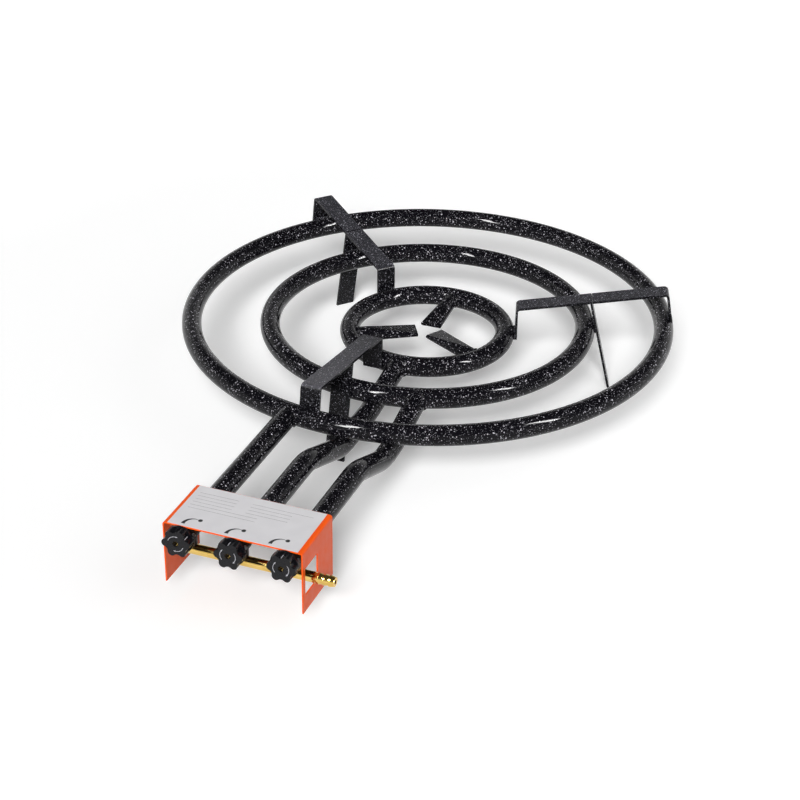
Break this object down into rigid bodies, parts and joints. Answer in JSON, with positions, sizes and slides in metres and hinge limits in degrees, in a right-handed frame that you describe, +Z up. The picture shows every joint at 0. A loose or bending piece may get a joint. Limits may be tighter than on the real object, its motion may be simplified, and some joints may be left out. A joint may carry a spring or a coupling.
{
  "type": "paella burner",
  "caption": "Low gas burner of concentric enamelled tube rings on strip legs that carry a pan, fed by tubes from a sheet box with push-and-turn tap knobs and a hose tail.",
  "frame": {"origin": "axis of the rings, on the floor that the three legs stand on", "axes": "+Z up along the ring axis, +Y from the control box to the rings, +X to the right as seen from the control box"},
  "size_m": [0.625, 0.899, 0.1364],
  "materials": {
    "enamel": "glossy black vitreous enamel with white specks",
    "strip_enamel": "satin black enamel with fine grey specks",
    "orange_paint": "orange powder coat",
    "label": null,
    "brass": "polished",
    "tap_black": "blackened cast brass",
    "steel": "zinc plated",
    "knob_plastic": "gloss black moulding with white print"
  },
  "bodies": {
    "burner": {"outer_ring": "enamel", "middle_ring": "enamel", "inner_ring": "enamel", "outer_feed": "enamel", "middle_feed": "enamel", "inner_feed": "enamel", "finger_back": "enamel", "finger_left": "enamel", "finger_right": "enamel", "right_leg_strip": "strip_enamel", "back_leg_strip": "strip_enamel", "front_leg_strip": "strip_enamel", "right_bar_strip": "strip_enamel", "back_bar_strip": "strip_enamel", "front_bar_strip": "strip_enamel", "control_box": "orange_paint", "box_label": "label", "cover_screws": "steel", "gas_rail": "brass", "hose_tail": "brass", "rail_plug": "brass", "left_bridge": "steel", "centre_bridge": "steel", "right_bridge": "steel", "left_tap_body": "tap_black", "centre_tap_body": "tap_black", "right_tap_body": "tap_black", "left_bonnet": "tap_black", "centre_bonnet": "tap_black", "right_bonnet": "tap_black", "bonnet_screws": "steel", "left_jet": "brass", "centre_jet": "brass", "right_jet": "brass"},
    "left_valve": {"left_plug": "brass", "left_spring": "steel"},
    "left_button": {"left_spindle": "brass", "left_knob": "knob_plastic"},
    "centre_valve": {"centre_plug": "brass", "centre_spring": "steel"},
    "centre_button": {"centre_spindle": "brass", "centre_knob": "knob_plastic"},
    "right_valve": {"right_plug": "brass", "right_spring": "steel"},
    "right_button": {"right_spindle": "brass", "right_knob": "knob_plastic"}
  },
  "joints": [
    {"name": "left_tap_turn", "type": "hinge", "parent": "burner", "child": "left_valve", "pos_m": [-0.06, -0.55, 0.09], "axis": [0, -1, 0], "range_deg": [0, 140]},
    {"name": "left_knob_push", "type": "slide", "parent": "left_valve", "child": "left_button", "axis": [0, 1, 0], "range_m": [0, 0.0025], "stiffness_N_per_m": 900, "springref_m": -0.002, "deforming": ["left_spring"]},
    {"name": "centre_tap_turn", "type": "hinge", "parent": "burner", "child": "centre_valve", "pos_m": [0, -0.55, 0.09], "axis": [0, -1, 0], "range_deg": [-55, 85]},
    {"name": "centre_knob_push", "type": "slide", "parent": "centre_valve", "child": "centre_button", "axis": [0, 1, 0], "range_m": [0, 0.0025], "stiffness_N_per_m": 900, "springref_m": -0.002, "deforming": ["centre_spring"]},
    {"name": "right_tap_turn", "type": "hinge", "parent": "burner", "child": "right_valve", "pos_m": [0.06, -0.55, 0.09], "axis": [0, -1, 0], "range_deg": [-55, 85]},
    {"name": "right_knob_push", "type": "slide", "parent": "right_valve", "child": "right_button", "axis": [0, 1, 0], "range_m": [0, 0.0025], "stiffness_N_per_m": 900, "springref_m": -0.002, "deforming": ["right_spring"]}
  ]
}
